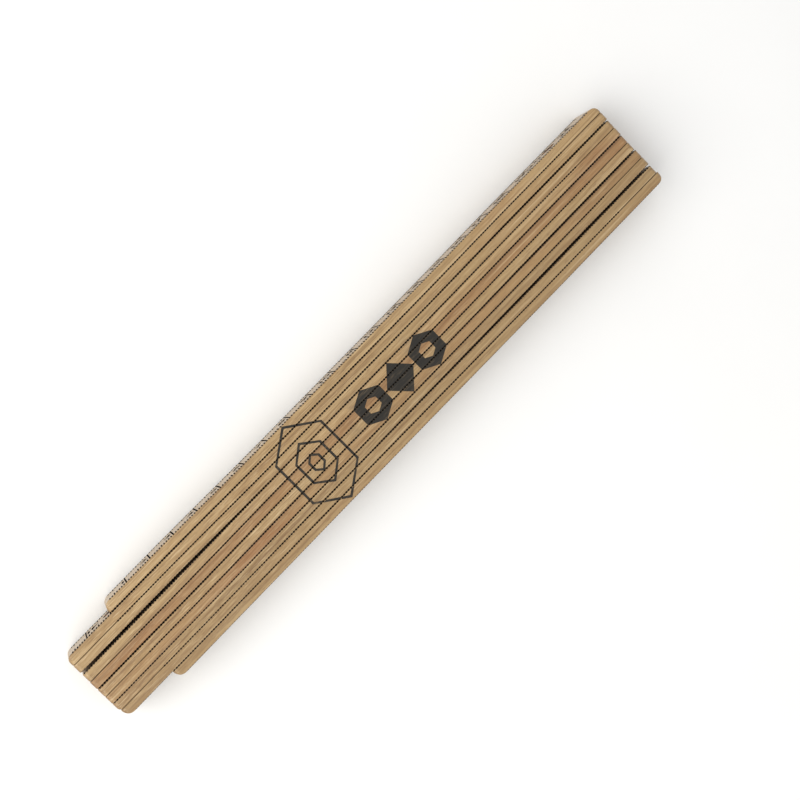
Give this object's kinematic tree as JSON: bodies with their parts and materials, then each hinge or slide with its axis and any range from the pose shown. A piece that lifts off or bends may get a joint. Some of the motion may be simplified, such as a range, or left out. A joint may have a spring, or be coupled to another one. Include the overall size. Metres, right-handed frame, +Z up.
{
  "type": "folding rule",
  "caption": "Wooden folding rule of two metres, its flat members joined end to end by riveted spring hinges, folded into a compact stack.",
  "frame": {"origin": "centre of the folded stack's underside, where the members' lower edges rest", "axes": "+X along the members towards hinge 1_2, +Y across the stack towards member 1, +Z up across the members' width"},
  "size_m": [0.238, 0.0318, 0.016],
  "materials": {
    "beech_pale": "clear matt varnish on pale straight-grained beech",
    "beech_honey": "clear matt varnish on honey-coloured beech",
    "beech_rosy": "clear matt varnish on pinkish-brown beech",
    "spring_steel": "thinly brass-plated stamped spring steel",
    "brass": "dull brass plate"
  },
  "bodies": {
    "member_01": {"slat_01": "beech_pale", "hinge_1_2_front_plate": "spring_steel", "hinge_1_2_washer": "brass"},
    "member_02": {"slat_02": "beech_honey", "hinge_1_2_rear_plate": "spring_steel", "hinge_1_2_rivet": "brass", "hinge_2_3_front_plate": "spring_steel", "hinge_2_3_washer": "brass"},
    "member_03": {"slat_03": "beech_honey", "hinge_2_3_rear_plate": "spring_steel", "hinge_2_3_rivet": "brass", "hinge_3_4_front_plate": "spring_steel", "hinge_3_4_washer": "brass"},
    "member_04": {"slat_04": "beech_pale", "hinge_3_4_rear_plate": "spring_steel", "hinge_3_4_rivet": "brass", "hinge_4_5_front_plate": "spring_steel", "hinge_4_5_washer": "brass"},
    "member_05": {"slat_05": "beech_rosy", "hinge_4_5_rear_plate": "spring_steel", "hinge_4_5_rivet": "brass", "hinge_5_6_front_plate": "spring_steel", "hinge_5_6_washer": "brass"},
    "member_06": {"slat_06": "beech_honey", "hinge_5_6_rear_plate": "spring_steel", "hinge_5_6_rivet": "brass", "hinge_6_7_front_plate": "spring_steel", "hinge_6_7_washer": "brass"},
    "member_07": {"slat_07": "beech_rosy", "hinge_6_7_rear_plate": "spring_steel", "hinge_6_7_rivet": "brass", "hinge_7_8_front_plate": "spring_steel", "hinge_7_8_washer": "brass"},
    "member_08": {"slat_08": "beech_honey", "hinge_7_8_rear_plate": "spring_steel", "hinge_7_8_rivet": "brass", "hinge_8_9_front_plate": "spring_steel", "hinge_8_9_washer": "brass"},
    "member_09": {"slat_09": "beech_honey", "hinge_8_9_rear_plate": "spring_steel", "hinge_8_9_rivet": "brass", "hinge_9_10_front_plate": "spring_steel", "hinge_9_10_washer": "brass"},
    "member_10": {"slat_10": "beech_honey", "hinge_9_10_rear_plate": "spring_steel", "hinge_9_10_rivet": "brass"}
  },
  "joints": [
    {"name": "hinge_1_2", "type": "hinge", "parent": "member_01", "child": "member_02", "pos_m": [0.1, 0.0128, 0.008], "axis": [0, 1, 0], "range_deg": [0, 180]},
    {"name": "hinge_2_3", "type": "hinge", "parent": "member_02", "child": "member_03", "pos_m": [-0.1, 0.0096, 0.008], "axis": [0, -1, 0], "range_deg": [0, 180]},
    {"name": "hinge_3_4", "type": "hinge", "parent": "member_03", "child": "member_04", "pos_m": [0.1, 0.0064, 0.008], "axis": [0, 1, 0], "range_deg": [0, 180]},
    {"name": "hinge_4_5", "type": "hinge", "parent": "member_04", "child": "member_05", "pos_m": [-0.1, 0.0032, 0.008], "axis": [0, -1, 0], "range_deg": [0, 180]},
    {"name": "hinge_5_6", "type": "hinge", "parent": "member_05", "child": "member_06", "pos_m": [0.1, 0, 0.008], "axis": [0, 1, 0], "range_deg": [0, 180]},
    {"name": "hinge_6_7", "type": "hinge", "parent": "member_06", "child": "member_07", "pos_m": [-0.1, -0.0032, 0.008], "axis": [0, -1, 0], "range_deg": [0, 180]},
    {"name": "hinge_7_8", "type": "hinge", "parent": "member_07", "child": "member_08", "pos_m": [0.1, -0.0064, 0.008], "axis": [0, 1, 0], "range_deg": [0, 180]},
    {"name": "hinge_8_9", "type": "hinge", "parent": "member_08", "child": "member_09", "pos_m": [-0.1, -0.0096, 0.008], "axis": [0, -1, 0], "range_deg": [0, 180]},
    {"name": "hinge_9_10", "type": "hinge", "parent": "member_09", "child": "member_10", "pos_m": [0.1, -0.0128, 0.008], "axis": [0, 1, 0], "range_deg": [0, 180]}
  ]
}
